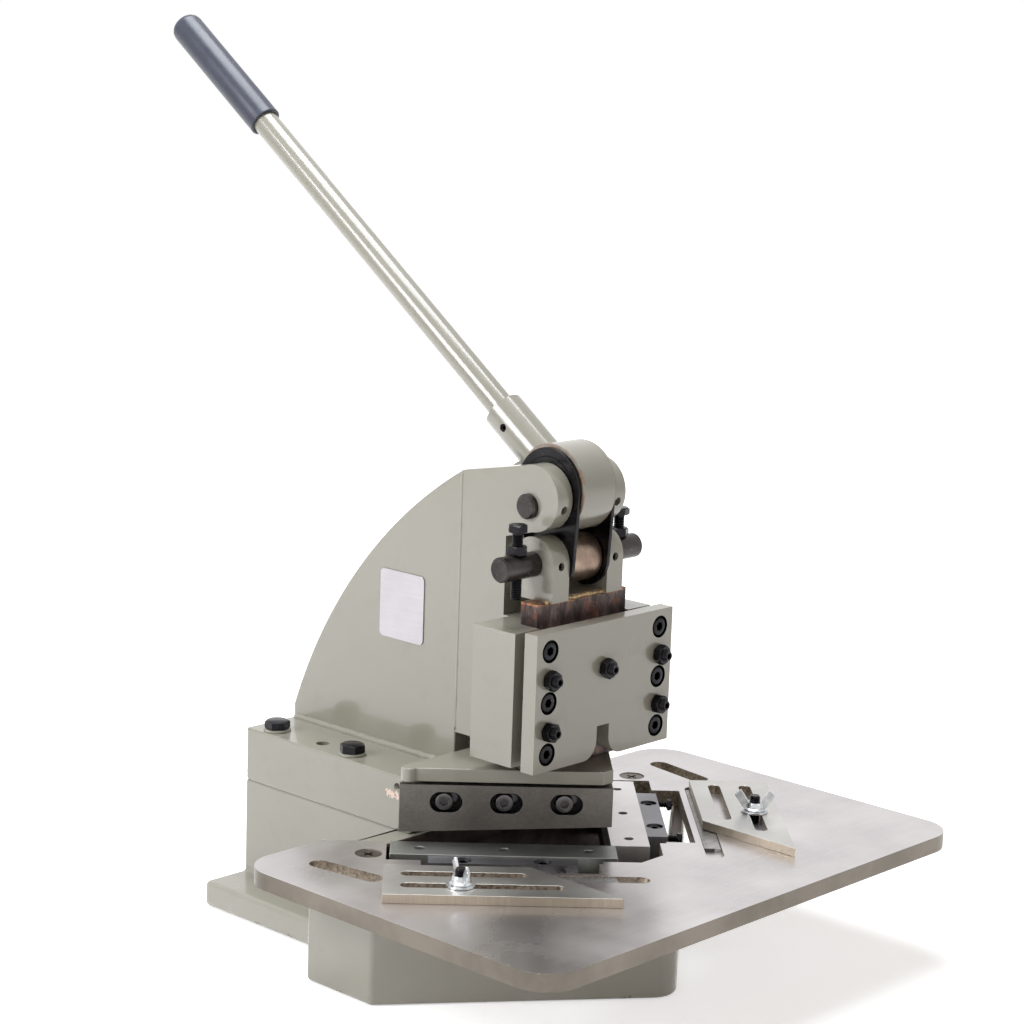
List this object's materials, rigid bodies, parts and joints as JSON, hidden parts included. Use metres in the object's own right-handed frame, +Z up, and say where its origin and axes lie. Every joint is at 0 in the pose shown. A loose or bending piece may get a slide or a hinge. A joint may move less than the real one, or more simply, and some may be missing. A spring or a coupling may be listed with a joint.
{
  "type": "corner notcher",
  "caption": "Bench corner notcher: a hand lever turns an eccentric that drives a guided ram with two angled blades through a slotted table with sliding fences.",
  "frame": {"origin": "middle of the flat underside of the base block", "axes": "+Z up, +X to the operator's right as they face the front plate, +Y to the rear, away from the operator"},
  "size_m": [0.4514, 0.6355, 0.6712],
  "materials": {
    "paint": "warm grey gloss machine paint",
    "ground_steel": "surface ground",
    "tool_steel": "hardened, oiled",
    "scaled_steel": "bare with welding heat tint",
    "black_oxide": "black oxide",
    "zinc": "bright zinc plated",
    "plate": "satin, blank",
    "bronze": "turned bearing bronze",
    "rubber": "moulded vinyl"
  },
  "bodies": {
    "frame": {"base_casting": "paint", "foot_slab": "paint", "base_bolts": "black_oxide", "base_washers": "paint", "jack_screws": "black_oxide", "rib_plate_left": "paint", "rib_plate_right": "paint", "head_plate_left": "paint", "head_plate_right": "paint", "rib_spacers": "paint", "lever_stop_bar": "paint", "guide_block": "paint", "front_plate": "paint", "front_plate_screws": "black_oxide", "gib_plate": "tool_steel", "gib_jack_screws": "black_oxide", "lock_nuts": "black_oxide", "upper_pin": "black_oxide", "pin_grub_screws": "black_oxide", "blank_plate": "plate", "table": "ground_steel", "table_screws": "black_oxide", "lower_blade_left": "tool_steel", "lower_blade_right": "tool_steel", "lower_blade_screws": "black_oxide", "adjusting_block_left": "tool_steel", "adjusting_block_right": "tool_steel", "block_screws": "black_oxide", "push_screws": "black_oxide", "scale_strip_left": "ground_steel", "scale_strip_right": "ground_steel", "fence_studs": "black_oxide"},
    "ram": {"ram_plate": "scaled_steel", "ram_clevis": "paint", "lower_shaft": "black_oxide", "shaft_grub_screws": "black_oxide", "stop_bolts": "black_oxide", "stop_nuts": "black_oxide", "ram_foot": "paint", "punch_block": "tool_steel", "upper_blade_left": "tool_steel", "upper_blade_right": "tool_steel", "upper_blade_screws": "black_oxide"},
    "lever": {"lever_hub": "paint", "handle_rod": "paint", "grip": "rubber", "socket_grub_screw": "black_oxide"},
    "links": {"link_left": "black_oxide", "link_right": "black_oxide"},
    "roller": {"bronze_roller": "bronze"},
    "left_fence": {"fence_left": "ground_steel"},
    "right_fence": {"fence_right": "ground_steel"},
    "left_wing_nut": {"washer_left": "zinc", "wing_nut_left": "zinc"},
    "right_wing_nut": {"washer_right": "zinc", "wing_nut_right": "zinc"}
  },
  "joints": [
    {"name": "lever_swing", "type": "hinge", "parent": "frame", "child": "lever", "pos_m": [0, -0.159, 0.3387], "axis": [1, 0, 0], "range_deg": [0, 100]},
    {"name": "ram_slide", "type": "slide", "parent": "frame", "child": "ram", "axis": [0, 0, -1], "range_m": [0, 0.016]},
    {"name": "link_turn", "type": "hinge", "parent": "lever", "child": "links", "pos_m": [0, -0.16198, 0.34981], "axis": [1, 0, 0], "range_deg": [-100, 0]},
    {"name": "roller_spin", "type": "hinge", "parent": "ram", "child": "roller", "pos_m": [0, -0.166, 0.2985], "axis": [1, 0, 0], "continuous": true},
    {"name": "left_fence_slide", "type": "slide", "parent": "frame", "child": "left_fence", "axis": [-0.7071, 0.7071, 0], "range_m": [-0.035, 0.06]},
    {"name": "right_fence_slide", "type": "slide", "parent": "frame", "child": "right_fence", "axis": [0.7071, 0.7071, 0], "range_m": [-0.059, 0.036]},
    {"name": "left_wing_nut_turn", "type": "hinge", "parent": "frame", "child": "left_wing_nut", "pos_m": [-0.15556, -0.21871, 0.096], "axis": [0, 0, 1], "range_deg": [0, 360]},
    {"name": "right_wing_nut_turn", "type": "hinge", "parent": "frame", "child": "right_wing_nut", "pos_m": [0.12587, -0.24841, 0.096], "axis": [0, 0, 1], "range_deg": [0, 360]}
  ],
  "couplings": [
    {"joint": "ram_slide", "follows": "lever_swing", "m_per_rad": 0.0091673},
    {"joint": "link_turn", "follows": "lever_swing", "ratio": -0.885}
  ]
}
